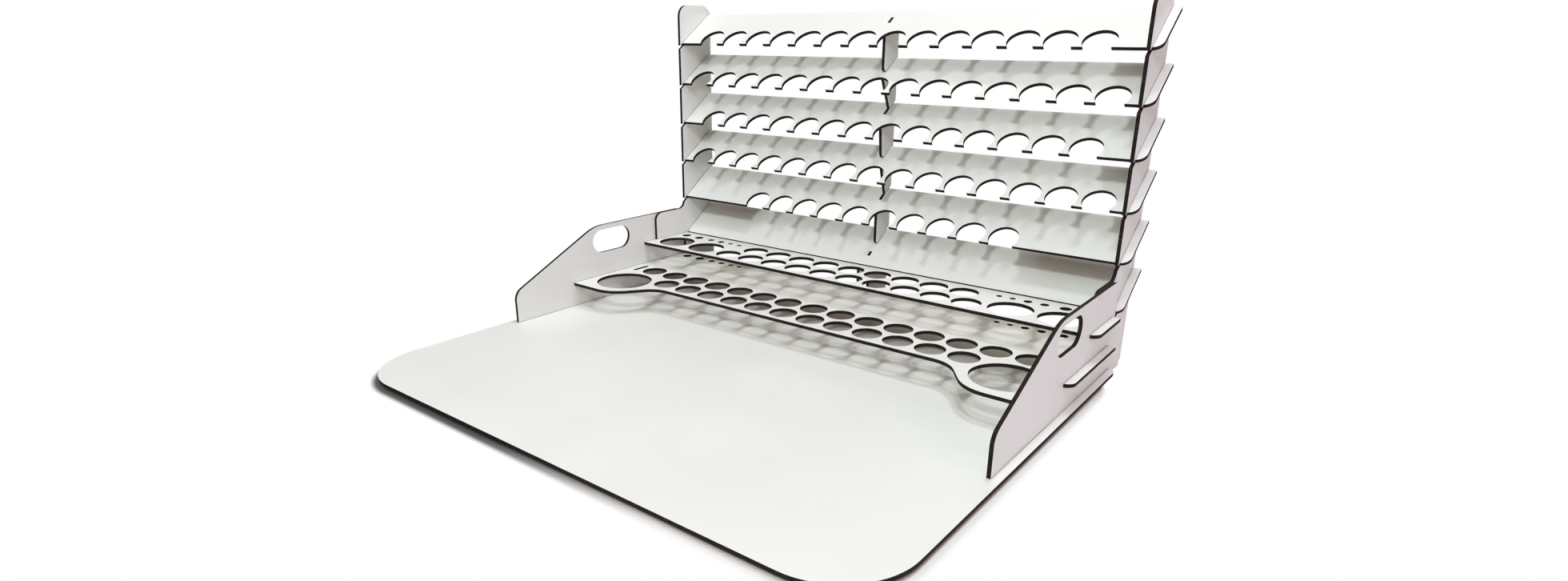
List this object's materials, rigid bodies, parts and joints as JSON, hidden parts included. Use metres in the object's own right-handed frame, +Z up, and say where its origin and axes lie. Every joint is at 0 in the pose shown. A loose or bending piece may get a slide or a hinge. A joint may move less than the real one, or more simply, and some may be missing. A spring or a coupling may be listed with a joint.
{
  "type": "hobby workstation organizer",
  "caption": "Slot-together sheet organizer for a hobby desk: base board, side panels, pierced shelves and a rack of tilted, notched bottle shelves on two uprights.",
  "frame": {"origin": "centre of the footprint on the floor, under the middle of the overall box", "axes": "+X to the user's right along the shelves, +Y from the front of the board to the rack, +Z up"},
  "size_m": [0.5, 0.4414, 0.3],
  "materials": {
    "white_laminate": "white satin laminate on thin fibreboard with dark laser-cut edges",
    "pad_rubber": "matte black rubber"
  },
  "bodies": {
    "root": {"base_board": "white_laminate", "pad_front_left": "pad_rubber", "pad_front_right": "pad_rubber", "pad_rear_left": "pad_rubber", "pad_rear_right": "pad_rubber", "left_side_panel": "white_laminate", "right_side_panel": "white_laminate", "left_upright": "white_laminate", "right_upright": "white_laminate", "lower_shelf": "white_laminate", "middle_shelf": "white_laminate", "rack_shelf_1": "white_laminate", "rack_shelf_2": "white_laminate", "rack_shelf_3": "white_laminate", "rack_shelf_4": "white_laminate", "rack_shelf_5": "white_laminate", "rack_back_panel": "white_laminate", "centre_spine": "white_laminate", "centre_spine_middle": "white_laminate", "centre_spine_lower": "white_laminate", "centre_support": "white_laminate"}
  },
  "joints": []
}
